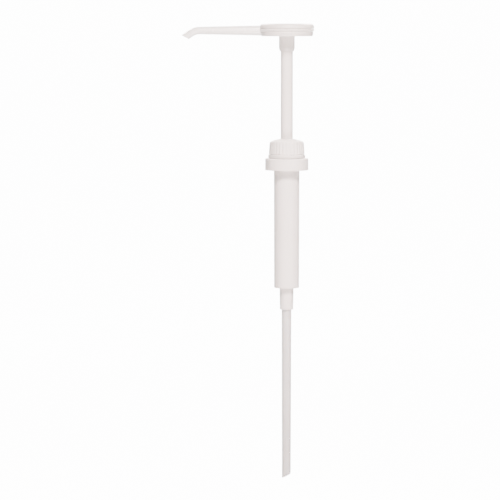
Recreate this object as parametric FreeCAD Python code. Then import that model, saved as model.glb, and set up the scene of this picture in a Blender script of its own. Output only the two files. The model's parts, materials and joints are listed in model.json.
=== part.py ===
"""Condiment pump for a one-gallon jug, drawn upright with its head up.

Millimetres. The origin is on the pump's axis, on the gasket face that the bottle's rim presses on.
+Z points up to the push head and the spout points along -X. Every piece is one solid in parts/.
"""

import FreeCAD, Part
import math
import os

# fits and gaps
RUN = 0.05  # radial clearance where one piece slides or turns in another
SEAT = 0.02  # gap between pieces that are pushed together and stay put
GAP = 0.3  # gap between pieces that pass each other without touching
STROKE = 82.5
STOP_GAP = 0.45  # left between the head's socket and the collar at the end of the stroke

# push head
HEAD_R = 25.9
HEAD_TOP_Z = 131.5
HEAD_BOTTOM_Z = 119.4
HEAD_SPLIT_Z = 126.4
HEAD_WALL = 1.5
HEAD_RIM_WALL = 2.3
HEAD_EDGE = 0.5  # bevel on both sides of the split
SOCKET_R = 7.5
SOCKET_BOTTOM_Z = 105.3
SOCKET_CHAMFER = (0.9, 2.9)  # across, up
HEAD_RIBS = 8
RIB_T = 1.2
NOTCH_GAP = 0.1  # round the spout where it passes through the rim

# spout
SPOUT_Z = 124.8
SPOUT_BEND_X = 82.2
SPOUT_BEND_R = 16.0
SPOUT_DROP_ANGLE = 35.0
SPOUT_TIP_LENGTH = 5.85
SPOUT_CUT_ANGLE = 29.0
SPOUT_EDGE_R = 4.75  # where it leaves the head
SPOUT_TIP_R = 3.6
SPOUT_BORE_R = 2.6
SPOUT_BORE_FLARE = 0.3  # how much wider the bore is at the head
SPOUT_SHOULDER_X = 24.6
SPOUT_PLUG_R = 4.0
SPOUT_PLUG_X = 9.2
SPOUT_BOSS_X = 14.0

# stem
STEM_R = 5.75
STEM_BORE_R = 3.9
STEM_TOP_Z = 117.6
STEM_FOOT_R = 7.0
STEM_FOOT_T = 1.7

# collar, screw cap and bottle neck
COLLAR_TOP_Z = SOCKET_BOTTOM_Z - STROKE - STOP_GAP
COLLAR_SHOULDER_Z = 19.0
COLLAR_SHOULDER_R = 16.3
COLLAR_SIDE_R = 17.0
COLLAR_RING_R = 17.6
COLLAR_RING_TOP_Z = 7.5
COLLAR_FLUTES = 32
FLUTE_R = 1.2
FLUTE_DEPTH = 0.4
COLLAR_THREAD_PITCH = 3.0
COLLAR_THREAD_TURNS = 2
COLLAR_THREAD_Z = COLLAR_RING_TOP_Z - 1.0
CAP_R = 20.6
CAP_TOP_Z = 4.0
CAP_BOTTOM_Z = -7.2
CAP_TOP_T = 1.5
CAP_HOLE_R = 14.4
NECK_THREAD_ROOT_R = 18.95
NECK_THREAD_CREST_R = 17.9
NECK_THREAD_PITCH = 4.23
NECK_THREAD_TURNS = 0.95
GASKET_T = 1.0
GASKET_R = 17.6

# cylinder
BORE_R = 10.5
CYLINDER_TOP_R = 12.2
CYLINDER_BOTTOM_R = 11.95
CYLINDER_BOTTOM_Z = -119.4
CYLINDER_FLOOR_T = 1.7
FLANGE_R = 17.5
FLANGE_T = 1.4
UPSTAND_R = 13.0
UPSTAND_TOP_Z = 14.0
GUIDE_FLANGE_T = 1.6
WIPER_R = 8.9
WIPER_T = 2.3
VENT_R = 0.8
VENT_Z = -11.0
NECK_TOP_R = 6.8
NECK_BOTTOM_R = 6.4
NECK_BOTTOM_Z = -140.3

# dip tube
TUBE_TOP_R = 4.67
TUBE_END_R = 4.28
TUBE_WALL = 1.15
TUBE_END_Z = -302.9
TUBE_CUT_ANGLE = 27.0

# piston
PISTON_TOP_Z = -4.0
PISTON_LENGTH = 14.0
PISTON_LAND_R = BORE_R - GAP
SEAL_SEAT_R = 8.4
SEAL_HEIGHT = 2.7
PISTON_RIM_T = 0.8
O_RING_R = 0.8

# valves and spring
OUTLET_BALL_R = 3.2
OUTLET_PORT_R = 1.9
OUTLET_CONE_R = 3.7
OUTLET_LIFT = 2.5
INLET_BALL_R = 4.0
INLET_PORT_R = 2.4
INLET_CONE_R = 5.2
INLET_PORT_LENGTH = 1.7
INLET_LIFT = 3.0
SPRING_R = 7.9
SPRING_WIRE_R = 0.55
SPRING_TURNS = 10
CAGE_FLANGE_T = 1.4
WASHER_T = 0.8

# worked out from the sizes above
PISTON_BOTTOM_Z = PISTON_TOP_Z - PISTON_LENGTH
FLOOR_Z = CYLINDER_BOTTOM_Z + CYLINDER_FLOOR_T
FLANGE_TOP_Z = GASKET_T + FLANGE_T
STEM_FOOT_Z = PISTON_BOTTOM_Z + 3.8
OUTLET_SEAT_TOP_Z = STEM_FOOT_Z - 0.1
OUTLET_BALL_Z = OUTLET_SEAT_TOP_Z - OUTLET_CONE_R + math.sqrt(2) * (OUTLET_BALL_R + RUN)
INLET_BALL_Z = FLOOR_Z - INLET_CONE_R + math.sqrt(2) * (INLET_BALL_R + RUN)
FOOT_TOP_Z = STEM_FOOT_Z + STEM_FOOT_T + 0.1
O_RING_Z = (PISTON_TOP_Z + FOOT_TOP_Z) / 2
WIPER_Z = UPSTAND_TOP_Z + GUIDE_FLANGE_T + 0.1
INLET_PORT_Z = FLOOR_Z - INLET_CONE_R + INLET_PORT_R
TUBE_TOP_Z = INLET_PORT_Z - INLET_PORT_LENGTH
UP = FreeCAD.Vector(0, 0, 1)


def turned(outline, arcs=None):
    """A solid turned about Z from (radius, height) corners. arcs maps a corner's index to the point
    that the side leaving that corner bows out through."""
    corners = [FreeCAD.Vector(r, 0, z) for r, z in outline]
    sides = []
    for i, start in enumerate(corners):
        end = corners[(i + 1) % len(corners)]
        if arcs and i in arcs:
            r, z = arcs[i]
            sides.append(Part.Arc(start, FreeCAD.Vector(r, 0, z), end).toShape())
        else:
            sides.append(Part.LineSegment(start, end).toShape())
    return Part.Face(Part.Wire(sides)).revolve(FreeCAD.Vector(0, 0, 0), UP, 360)


def eased(solid, radius, *places):
    """The solid with its round edges at the given (radius, height) places rounded off."""
    edges = []
    for edge in solid.Edges:
        curve = edge.Curve
        if isinstance(curve, Part.Circle):
            if any(math.hypot(curve.Radius - r, curve.Center.z - z) < 0.01 for r, z in places):
                edges.append(edge)
    return solid.makeFillet(radius, edges)


def slab(low, high):
    """A box between two opposite corners."""
    return Part.makeBox(*(b - a for a, b in zip(low, high)), FreeCAD.Vector(*low))


def around(solid, count, first=0.0):
    """Copies of the solid spaced evenly about Z."""
    copies = []
    for i in range(count):
        copy = solid.copy()
        copy.rotate(FreeCAD.Vector(0, 0, 0), UP, first + 360.0 * i / count)
        copies.append(copy)
    return copies


def ball(radius, z):
    """A sphere on the axis."""
    return Part.makeSphere(radius, FreeCAD.Vector(0, 0, z))


def thread(section, pitch, turns, start_z):
    """A helical ridge swept from its section, (radius, height) corners around the helix."""
    path = Part.makeHelix(pitch, pitch * turns, section[0][0])
    path.translate(FreeCAD.Vector(0, 0, start_z))
    corners = [FreeCAD.Vector(r, 0, start_z + z) for r, z in section]
    return Part.Wire(path.Edges).makePipeShell([Part.makePolygon(corners + corners[:1])], True, True)


def along_spout(radius, edge_radius, start_x):
    """The spout's line as a solid: straight and tapering out from start_x, then the bend and the tip."""
    taper = (edge_radius - radius) / (SPOUT_BEND_X - HEAD_R)
    start_r = radius + taper * (SPOUT_BEND_X - start_x)
    outward = FreeCAD.Vector(-1, 0, 0)
    start = FreeCAD.Vector(-start_x, 0, SPOUT_Z)
    bend = FreeCAD.Vector(-SPOUT_BEND_X, 0, SPOUT_Z)
    arm = Part.makeCone(start_r, radius, SPOUT_BEND_X - start_x, start, outward)
    ring = Part.Face(Part.Wire(Part.makeCircle(radius, bend, outward)))
    elbow = ring.revolve(bend - UP * SPOUT_BEND_R, FreeCAD.Vector(0, -1, 0), SPOUT_DROP_ANGLE)
    elbow_end, tip_way = spout_line_end()
    tip = Part.makeCylinder(radius, SPOUT_TIP_LENGTH * 2, elbow_end, tip_way)
    return arm.fuse([elbow, tip]).removeSplitter()


def spout_line_end():
    """Where the bend ends, and the way the tip points."""
    drop = math.radians(SPOUT_DROP_ANGLE)
    across = SPOUT_BEND_X + SPOUT_BEND_R * math.sin(drop)
    height = SPOUT_Z - SPOUT_BEND_R * (1 - math.cos(drop))
    return FreeCAD.Vector(-across, 0, height), FreeCAD.Vector(-math.cos(drop), 0, -math.sin(drop))


def spout():
    """The bent tube that carries the sauce out, with a plug that pushes into the head."""
    body = along_spout(SPOUT_TIP_R, SPOUT_EDGE_R, SPOUT_SHOULDER_X + SEAT)
    plug = spout_rod(SPOUT_PLUG_R, SPOUT_PLUG_X + SEAT, SPOUT_SHOULDER_X + 1)
    bore = along_spout(SPOUT_BORE_R, SPOUT_BORE_R + SPOUT_BORE_FLARE, SPOUT_PLUG_X - 1)
    elbow_end, tip_way = spout_line_end()
    cut = math.radians(SPOUT_CUT_ANGLE)
    waste = Part.makeCylinder(
        20, 30, elbow_end + tip_way * SPOUT_TIP_LENGTH, FreeCAD.Vector(-math.sin(cut), 0, -math.cos(cut))
    )
    return body.fuse(plug).cut([bore, waste])


def spout_rod(radius, start_x, end_x):
    """A straight rod on the spout's line, inside the head."""
    return Part.makeCylinder(
        radius, end_x - start_x, FreeCAD.Vector(-start_x, 0, SPOUT_Z), FreeCAD.Vector(-1, 0, 0)
    )


def spout_notch(low_z, high_z):
    """The room the spout takes where it passes through the head's edge, open above or below."""
    notch = []
    for radius, start_x, end_x in [
        (SPOUT_PLUG_R + NOTCH_GAP, SPOUT_BOSS_X, SPOUT_SHOULDER_X + 1),
        (SPOUT_EDGE_R + NOTCH_GAP, SPOUT_SHOULDER_X, HEAD_R + 5),
    ]:
        notch.append(spout_rod(radius, start_x, end_x))
        notch.append(slab((-end_x, -radius, low_z), (-start_x, radius, high_z)))
    return notch


def head_shell():
    """The head's lower disc, with its grooved edge, the socket for the stem and the spout's boss."""
    chamfer_across, chamfer_up = SOCKET_CHAMFER
    rim_in = HEAD_R - HEAD_RIM_WALL
    floor_z = HEAD_BOTTOM_Z + HEAD_WALL + 0.2
    hub_top_z = HEAD_TOP_Z - HEAD_WALL - GAP
    hub_roof_z = hub_top_z - 1.1
    groove_r = HEAD_R - 1.1
    groove_z = HEAD_BOTTOM_Z + 4.0
    disc = turned([
        (0, SOCKET_BOTTOM_Z),
        (SOCKET_R - chamfer_across, SOCKET_BOTTOM_Z),
        (SOCKET_R, SOCKET_BOTTOM_Z + chamfer_up),
        (SOCKET_R, HEAD_BOTTOM_Z),
        (HEAD_R - 1.6, HEAD_BOTTOM_Z),
        (groove_r + 0.4, groove_z - 0.6),
        (groove_r, groove_z - 0.2),
        (groove_r, groove_z + 0.2),
        (HEAD_R, groove_z + 1.3),
        (HEAD_R, HEAD_SPLIT_Z - HEAD_EDGE),
        (HEAD_R - HEAD_EDGE, HEAD_SPLIT_Z),
        (rim_in, HEAD_SPLIT_Z),
        (rim_in, floor_z),
        (SOCKET_R, floor_z),
        (SOCKET_R, hub_top_z),
        (0, hub_top_z),
    ])
    disc = eased(disc, 0.9, (HEAD_R - 1.6, HEAD_BOTTOM_Z))
    disc = eased(disc, 0.4, (SOCKET_R - chamfer_across, SOCKET_BOTTOM_Z))
    rib = slab((SOCKET_R - 0.5, -RIB_T / 2, floor_z - 0.5), (rim_in + 0.5, RIB_T / 2, floor_z + 3.0))
    boss = spout_rod(SPOUT_PLUG_R + 0.7, 0, SPOUT_BOSS_X)
    socket = turned([
        (0, SOCKET_BOTTOM_Z - 1),
        (STEM_R + SEAT, SOCKET_BOTTOM_Z - 1),
        (STEM_R + SEAT, STEM_TOP_Z + SEAT),
        (STEM_BORE_R, STEM_TOP_Z + SEAT),
        (STEM_BORE_R, hub_roof_z),
        (0, hub_roof_z),
    ])
    port = spout_rod(SPOUT_BORE_R + 0.5, 0, SPOUT_BOSS_X)
    plug_hole = spout_rod(SPOUT_PLUG_R + SEAT, SPOUT_PLUG_X, SPOUT_BOSS_X + 1)
    solid = disc.fuse(around(rib, HEAD_RIBS, 180.0 / HEAD_RIBS) + [boss])
    return solid.cut([socket, port, plug_hole] + spout_notch(SPOUT_Z, HEAD_SPLIT_Z + 1)).removeSplitter()


def head_cover():
    """The head's domed top disc, with a ring under it that pushes into the shell's rim."""
    plug_r = HEAD_R - HEAD_RIM_WALL - SEAT
    plug_in_r = plug_r - 1.2
    low_z = HEAD_SPLIT_Z + 0.2
    plug_low_z = low_z - 1.8
    dome_r = HEAD_R - 2.6
    dome_drop = 0.4
    ball_r = (dome_r ** 2 + dome_drop ** 2) / (2 * dome_drop)
    dome_mid_z = HEAD_TOP_Z - ball_r + math.sqrt(ball_r ** 2 - dome_r ** 2 / 4)
    cover = turned([
        (plug_in_r, plug_low_z),
        (plug_r, plug_low_z),
        (plug_r, low_z),
        (HEAD_R - HEAD_EDGE, low_z),
        (HEAD_R, low_z + HEAD_EDGE),
        (HEAD_R, HEAD_TOP_Z - 3.0),
        (dome_r, HEAD_TOP_Z - dome_drop),
        (0, HEAD_TOP_Z),
        (0, HEAD_TOP_Z - HEAD_WALL),
        (plug_in_r, HEAD_TOP_Z - HEAD_WALL),
    ], {
        5: (HEAD_R - 0.75, HEAD_TOP_Z - 1.15),
        6: (dome_r / 2, dome_mid_z),
    })
    return cover.cut(spout_notch(plug_low_z - 1, SPOUT_Z))


def stem():
    """The hollow rod between the head and the piston, with a foot flange and stops for the outlet ball."""
    rod = turned([
        (STEM_BORE_R, STEM_FOOT_Z),
        (STEM_FOOT_R, STEM_FOOT_Z),
        (STEM_FOOT_R, STEM_FOOT_Z + STEM_FOOT_T),
        (STEM_R, STEM_FOOT_Z + STEM_FOOT_T),
        (STEM_R, STEM_TOP_Z - 0.6),
        (STEM_R - 0.6, STEM_TOP_Z),
        (STEM_BORE_R, STEM_TOP_Z),
    ])
    stop_r = 2.4
    touch = math.sqrt(OUTLET_BALL_R ** 2 - stop_r ** 2)
    stop_z = OUTLET_BALL_Z + OUTLET_LIFT + touch + 0.1
    stop = slab((stop_r, -0.5, stop_z), (STEM_BORE_R + 0.5, 0.5, stop_z + 8))
    return rod.fuse(around(stop, 4)).removeSplitter()


def piston():
    """The ring that turns on the stem's foot and carries two cup seals and an O-ring."""
    pocket_r = STEM_FOOT_R + GAP
    ring_groove_r = STEM_R + RUN + 2 * O_RING_R + 0.05
    ring_half = O_RING_R + 0.25
    rim_r = BORE_R - 0.5
    upper_seat_z = PISTON_TOP_Z - PISTON_RIM_T
    lower_seat_z = PISTON_BOTTOM_Z + PISTON_RIM_T
    seat_height = SEAL_HEIGHT + 0.1
    return turned([
        (STEM_R + RUN, PISTON_TOP_Z),
        (rim_r, PISTON_TOP_Z),
        (rim_r, upper_seat_z),
        (SEAL_SEAT_R, upper_seat_z),
        (SEAL_SEAT_R, upper_seat_z - seat_height),
        (PISTON_LAND_R, upper_seat_z - seat_height),
        (PISTON_LAND_R, lower_seat_z + seat_height),
        (SEAL_SEAT_R, lower_seat_z + seat_height),
        (SEAL_SEAT_R, lower_seat_z),
        (rim_r, lower_seat_z),
        (rim_r, PISTON_BOTTOM_Z),
        (pocket_r, PISTON_BOTTOM_Z),
        (pocket_r, FOOT_TOP_Z),
        (STEM_R + RUN, FOOT_TOP_Z),
        (STEM_R + RUN, O_RING_Z - ring_half),
        (ring_groove_r, O_RING_Z - ring_half),
        (ring_groove_r, O_RING_Z + ring_half),
        (STEM_R + RUN, O_RING_Z + ring_half),
    ])


def cup_seal(lip_z, heel_z):
    """A ring with a flared lip that wipes the bore, from its lip end to its heel end."""
    out = 1 if lip_z > heel_z else -1
    inner_r = SEAL_SEAT_R + SEAT
    lip_r = BORE_R - RUN
    return turned([
        (inner_r, heel_z),
        (lip_r - 0.3, heel_z),
        (lip_r - 0.3, heel_z + out * 1.0),
        (lip_r, lip_z - out * 0.5),
        (lip_r, lip_z),
        (lip_r - 0.6, lip_z),
        (inner_r + 0.8, heel_z + out * 1.1),
        (inner_r + 0.5, lip_z),
        (inner_r, lip_z),
    ])


def piston_seal_upper():
    """The cup seal that keeps sauce from passing up round the piston."""
    top_z = PISTON_TOP_Z - PISTON_RIM_T - RUN
    return cup_seal(top_z, top_z - SEAL_HEIGHT)


def piston_seal_lower():
    """The cup seal that pushes the sauce down."""
    bottom_z = PISTON_BOTTOM_Z + PISTON_RIM_T + RUN
    return cup_seal(bottom_z, bottom_z + SEAL_HEIGHT)


def stem_o_ring():
    """The O-ring between the stem and the piston that turns on it."""
    return Part.makeTorus(STEM_R + RUN + O_RING_R, O_RING_R, FreeCAD.Vector(0, 0, O_RING_Z))


def outlet_valve_seat():
    """The disc pressed into the piston's foot, with the cone the outlet ball rests on."""
    outer_r = STEM_FOOT_R + GAP - SEAT
    return turned([
        (OUTLET_PORT_R, PISTON_BOTTOM_Z),
        (outer_r, PISTON_BOTTOM_Z),
        (outer_r, OUTLET_SEAT_TOP_Z),
        (OUTLET_CONE_R, OUTLET_SEAT_TOP_Z),
        (OUTLET_PORT_R, OUTLET_SEAT_TOP_Z - OUTLET_CONE_R + OUTLET_PORT_R),
    ])


def outlet_ball():
    """The ball that holds the stem full between strokes."""
    return ball(OUTLET_BALL_R, OUTLET_BALL_Z)


def spring_washer():
    """The flat ring the spring turns on under the piston."""
    top_z = PISTON_BOTTOM_Z - RUN
    low_z = top_z - WASHER_T
    inner_r = SPRING_R - 1.9
    outer_r = SPRING_R + 1.7
    return turned([(inner_r, low_z), (outer_r, low_z), (outer_r, top_z), (inner_r, top_z)])


def return_spring():
    """The compression spring under the piston, with its end turns closed up."""
    low = FLOOR_Z + SEAT + CAGE_FLANGE_T + RUN + SPRING_WIRE_R
    high = PISTON_BOTTOM_Z - RUN - WASHER_T - RUN - SPRING_WIRE_R
    closed_pitch = SPRING_WIRE_R * 2 + 0.2
    free_height = high - low - 2 * closed_pitch
    per_turn = 16
    points = []
    for i in range((SPRING_TURNS + 2) * per_turn + 1):
        turn = i / per_turn
        open_turns = min(max(turn - 1, 0), SPRING_TURNS)
        height = low + closed_pitch * (turn - open_turns) + free_height * open_turns / SPRING_TURNS
        angle = 2 * math.pi * turn
        points.append(FreeCAD.Vector(SPRING_R * math.cos(angle), SPRING_R * math.sin(angle), height))
    line = Part.BSplineCurve()
    line.interpolate(points)
    ahead = line.tangent(line.FirstParameter)[0]
    section = Part.Wire(Part.makeCircle(SPRING_WIRE_R, points[0], ahead))
    return Part.Wire(line.toShape()).makePipeShell([section], True, True)


def inlet_ball_cage():
    """The slotted cup over the inlet ball, with the flange the spring stands on."""
    low_z = FLOOR_Z + SEAT
    in_r = INLET_BALL_R + 0.6
    out_r = in_r + 1.3
    roof_z = INLET_BALL_Z + INLET_LIFT + INLET_BALL_R + 0.2
    cage = turned([
        (in_r, low_z),
        (BORE_R - 0.1, low_z),
        (BORE_R - 0.1, low_z + CAGE_FLANGE_T),
        (out_r, low_z + CAGE_FLANGE_T),
        (out_r, roof_z + 0.4),
        (out_r - 0.8, roof_z + 1.2),
        (0, roof_z + 1.2),
        (0, roof_z),
        (in_r, roof_z),
    ])
    slot = slab((2, -1.7, low_z + CAGE_FLANGE_T + 0.6), (out_r + 1, 1.7, roof_z - 1.2))
    return cage.cut(around(slot, 4, 45))


def inlet_ball():
    """The ball that lets sauce up the dip tube and not back down."""
    return ball(INLET_BALL_R, INLET_BALL_Z)


def pump_cylinder():
    """The barrel, with its flange, the threaded upstand above it and the dip tube's neck below."""
    barrel = turned([
        (BORE_R, UPSTAND_TOP_Z),
        (UPSTAND_R, UPSTAND_TOP_Z),
        (UPSTAND_R, FLANGE_TOP_Z),
        (FLANGE_R, FLANGE_TOP_Z),
        (FLANGE_R, GASKET_T),
        (CYLINDER_TOP_R, GASKET_T),
        (CYLINDER_BOTTOM_R, CYLINDER_BOTTOM_Z),
        (NECK_TOP_R, CYLINDER_BOTTOM_Z),
        (NECK_BOTTOM_R, NECK_BOTTOM_Z),
        (TUBE_TOP_R + SEAT, NECK_BOTTOM_Z),
        (TUBE_TOP_R + SEAT, TUBE_TOP_Z),
        (INLET_PORT_R, TUBE_TOP_Z),
        (INLET_PORT_R, INLET_PORT_Z),
        (INLET_CONE_R, FLOOR_Z),
        (BORE_R, FLOOR_Z),
    ])
    barrel = eased(barrel, 0.8, (CYLINDER_BOTTOM_R, CYLINDER_BOTTOM_Z))
    barrel = eased(barrel, 0.5, (NECK_BOTTOM_R, NECK_BOTTOM_Z))
    ridge = thread(collar_thread_section(0), COLLAR_THREAD_PITCH, COLLAR_THREAD_TURNS, COLLAR_THREAD_Z)
    vent_start = FreeCAD.Vector(0, 0, VENT_Z)
    vent = Part.makeCylinder(VENT_R, CYLINDER_TOP_R + 5, vent_start, FreeCAD.Vector(0, 1, 0))
    return barrel.fuse(ridge).cut(vent)


def collar_thread_section(grow):
    """The ridge between the cylinder's upstand and the collar, grown all round for the groove."""
    root_r = UPSTAND_R - 0.3
    crest_r = UPSTAND_R + 0.9
    return [
        (root_r, -1.0 - grow),
        (crest_r + grow, -0.4 - grow),
        (crest_r + grow, 0.4 + grow),
        (root_r, 1.0 + grow),
    ]


def dip_tube():
    """The tube down to the bottom of the jug, cut at a slant so that it can't suck onto the floor."""
    top_z = TUBE_TOP_Z - SEAT
    tube = turned([
        (TUBE_TOP_R - TUBE_WALL, top_z),
        (TUBE_TOP_R, top_z),
        (TUBE_TOP_R, NECK_BOTTOM_Z - 1),
        (TUBE_END_R, TUBE_END_Z),
        (TUBE_END_R - TUBE_WALL, TUBE_END_Z),
        (TUBE_TOP_R - TUBE_WALL, NECK_BOTTOM_Z - 1),
    ])
    cut = math.radians(TUBE_CUT_ANGLE)
    corner = FreeCAD.Vector(-TUBE_END_R, 0, TUBE_END_Z)
    return tube.cut(Part.makeCylinder(30, 30, corner, FreeCAD.Vector(math.sin(cut), 0, -math.cos(cut))))


def stem_guide():
    """The long sleeve the stem slides in, which also stops the piston at the top of its stroke."""
    flange_z = UPSTAND_TOP_Z + SEAT
    sleeve_r = STEM_R + RUN + 1.6
    foot_z = PISTON_TOP_Z + 0.1
    sleeve = turned([
        (STEM_R + RUN, foot_z),
        (sleeve_r, foot_z),
        (sleeve_r, flange_z),
        (UPSTAND_R, flange_z),
        (UPSTAND_R, flange_z + GUIDE_FLANGE_T),
        (STEM_R + RUN, flange_z + GUIDE_FLANGE_T),
    ])
    fin = slab((sleeve_r - 0.5, -0.6, foot_z), (BORE_R - 0.1, 0.6, flange_z + 0.5))
    return sleeve.fuse(around(fin, 6)).removeSplitter()


def stem_wiper():
    """The soft ring in the collar's top that wipes the stem clean."""
    rub_r = STEM_R + RUN
    top_z = WIPER_Z + WIPER_T
    return turned([
        (rub_r + 0.5, WIPER_Z),
        (WIPER_R, WIPER_Z),
        (WIPER_R, top_z),
        (rub_r, top_z),
        (rub_r, top_z - 0.7),
        (rub_r + 0.5, top_z - 1.1),
    ])


def retaining_collar():
    """The fluted, domed knob that screws onto the cylinder and holds the stem guide down."""
    guide_top_z = UPSTAND_TOP_Z + GUIDE_FLANGE_T + 2 * SEAT
    wiper_top_z = WIPER_Z + WIPER_T + SEAT
    foot_r = COLLAR_SIDE_R - 0.5
    side_foot_z = COLLAR_RING_TOP_Z + 0.7
    low_z = CAP_TOP_Z + GAP
    cavity_r = UPSTAND_R + 0.15
    hole_r = STEM_R + GAP
    collar = turned([
        (cavity_r, low_z),
        (COLLAR_RING_R, low_z),
        (COLLAR_RING_R, COLLAR_RING_TOP_Z - 0.2),
        (foot_r, COLLAR_RING_TOP_Z),
        (foot_r, COLLAR_RING_TOP_Z + 0.3),
        (COLLAR_SIDE_R, side_foot_z),
        (COLLAR_SHOULDER_R, COLLAR_SHOULDER_Z),
        (hole_r + 0.7, COLLAR_TOP_Z),
        (hole_r, COLLAR_TOP_Z - 0.3),
        (hole_r, wiper_top_z),
        (WIPER_R + SEAT, wiper_top_z),
        (WIPER_R + SEAT, guide_top_z),
        (cavity_r, guide_top_z),
    ], {6: (COLLAR_SHOULDER_R - 4.3, COLLAR_SHOULDER_Z + 2.25)})
    collar = eased(collar, 0.6, (COLLAR_RING_R, low_z))
    rise = COLLAR_SHOULDER_Z - COLLAR_RING_TOP_Z
    foot = FreeCAD.Vector(COLLAR_SIDE_R + FLUTE_R - FLUTE_DEPTH, 0, side_foot_z + FLUTE_R)
    lean = FreeCAD.Vector(COLLAR_SHOULDER_R - COLLAR_SIDE_R, 0, rise)
    flute = Part.makeCylinder(FLUTE_R, rise, foot, lean)
    section = collar_thread_section(0.12)
    groove = thread(section, COLLAR_THREAD_PITCH, COLLAR_THREAD_TURNS, COLLAR_THREAD_Z)
    return collar.cut(around(flute, COLLAR_FLUTES)).cut(groove)


def screw_cap():
    """The plain cap that turns freely under the collar and screws down onto the bottle's neck."""
    underside_z = CAP_TOP_Z - CAP_TOP_T
    cap = turned([
        (CAP_HOLE_R, underside_z),
        (CAP_HOLE_R, CAP_TOP_Z),
        (CAP_R, CAP_TOP_Z),
        (CAP_R, CAP_BOTTOM_Z),
        (NECK_THREAD_ROOT_R, CAP_BOTTOM_Z),
        (NECK_THREAD_ROOT_R, underside_z),
    ])
    cap = eased(cap, 1.0, (CAP_R, CAP_TOP_Z))
    cap = eased(cap, 0.3, (CAP_R, CAP_BOTTOM_Z))
    ridge = thread([
        (NECK_THREAD_ROOT_R + 0.3, -1.2),
        (NECK_THREAD_CREST_R, -0.45),
        (NECK_THREAD_CREST_R, 0.45),
        (NECK_THREAD_ROOT_R + 0.3, 1.2),
    ], NECK_THREAD_PITCH, NECK_THREAD_TURNS, CAP_BOTTOM_Z + 1.6)
    return cap.fuse(ridge)


def neck_gasket():
    """The flat ring that the bottle's rim presses on."""
    inner_r = CYLINDER_TOP_R + 0.1
    top_z = GASKET_T - SEAT
    return turned([(inner_r, 0), (GASKET_R, 0), (GASKET_R, top_z), (inner_r, top_z)])


PIECES = [
    head_cover, head_shell, spout, stem, piston, piston_seal_upper, piston_seal_lower, stem_o_ring,
    outlet_valve_seat, outlet_ball, spring_washer, return_spring, inlet_ball_cage, inlet_ball,
    pump_cylinder, dip_tube, stem_guide, stem_wiper, retaining_collar, screw_cap, neck_gasket,
]

os.makedirs("parts", exist_ok=True)
for piece in PIECES:
    shape = piece()
    if len(shape.Solids) != 1 or not shape.isValid():
        raise ValueError(f"{piece.__name__} isn't one valid solid")
    shape.Solids[0].exportStep(f"parts/{piece.__name__}.step")
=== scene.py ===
"""The condiment pump's looks: moulded white plastic, steel spring and balls, on a pale sweep.

Metres, in the CAD frame. Sizes come from the CAD nodes' boxes; the lengths below are details that
the boxes don't give.
"""

import json
import math

import bmesh
import bpy
from mathutils import Matrix, Vector

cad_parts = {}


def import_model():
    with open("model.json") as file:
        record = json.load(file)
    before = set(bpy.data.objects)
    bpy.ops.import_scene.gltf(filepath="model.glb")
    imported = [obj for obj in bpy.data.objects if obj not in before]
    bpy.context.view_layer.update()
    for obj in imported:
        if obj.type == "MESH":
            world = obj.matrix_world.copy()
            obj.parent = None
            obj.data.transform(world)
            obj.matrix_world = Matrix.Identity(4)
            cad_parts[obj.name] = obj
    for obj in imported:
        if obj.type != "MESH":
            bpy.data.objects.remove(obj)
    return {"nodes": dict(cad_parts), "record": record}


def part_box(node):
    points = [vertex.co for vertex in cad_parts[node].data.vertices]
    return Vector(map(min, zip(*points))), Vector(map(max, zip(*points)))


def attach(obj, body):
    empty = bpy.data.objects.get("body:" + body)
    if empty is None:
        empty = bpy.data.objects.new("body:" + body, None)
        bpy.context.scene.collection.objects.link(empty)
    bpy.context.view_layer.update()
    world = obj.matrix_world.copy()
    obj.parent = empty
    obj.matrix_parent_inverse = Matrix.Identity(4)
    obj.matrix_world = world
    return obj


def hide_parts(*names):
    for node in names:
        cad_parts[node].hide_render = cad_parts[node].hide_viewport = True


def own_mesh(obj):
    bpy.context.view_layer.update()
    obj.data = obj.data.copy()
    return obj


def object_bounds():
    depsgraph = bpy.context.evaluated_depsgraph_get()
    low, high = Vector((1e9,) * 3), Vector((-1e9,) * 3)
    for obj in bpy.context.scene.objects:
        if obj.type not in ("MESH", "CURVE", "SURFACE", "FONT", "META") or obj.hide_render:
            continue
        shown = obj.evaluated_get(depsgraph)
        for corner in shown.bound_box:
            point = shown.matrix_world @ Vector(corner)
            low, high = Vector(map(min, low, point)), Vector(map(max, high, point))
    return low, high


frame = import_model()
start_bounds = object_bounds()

MM = 0.001
SLIVER = 0.001 * MM  # points closer than this are merged after a cut
WELD = 0.0001 * MM  # points closer than this are one point
ROUND_STEPS = 4  # faces across a rounded corner
SEGMENTS = 128  # faces round a turned piece
SEAT = 0.02 * MM  # gap between pieces that are pushed together

# head
COVER_WALL = 1.5 * MM
DOME_DROP = 0.4 * MM  # from the middle of the cover to its rounded edge
EDGE_R = 3.3 * MM
PLUG_DEPTH = 1.8 * MM  # of the cover's plug, below its lip
PLUG_WALL = 1.2 * MM
SPLIT_GAP = 0.2 * MM  # the open groove between the two discs
SHELL_DEPTH = 5.4 * MM  # from the foot of the cover's plug to the underside of the shell
SHELL_FLOOR = 1.7 * MM
RIM_WALL = 2.3 * MM
SOCKET_R = 7.5 * MM
SOCKET_ROOF = 1.1 * MM
HEAD_RIBS = 8
RIB_T = 1.2 * MM
RIB_HEIGHT = 3.0 * MM
BITE = 0.5 * MM  # how far a rib runs into the walls that it joins
BOSS_X = 14 * MM  # where the spout's boss ends, from the axis
BOSS_WALL = 0.7 * MM
PORT_R = 3.1 * MM  # the way from the stem into the spout
NOTCH_GAP = 0.1 * MM
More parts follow.
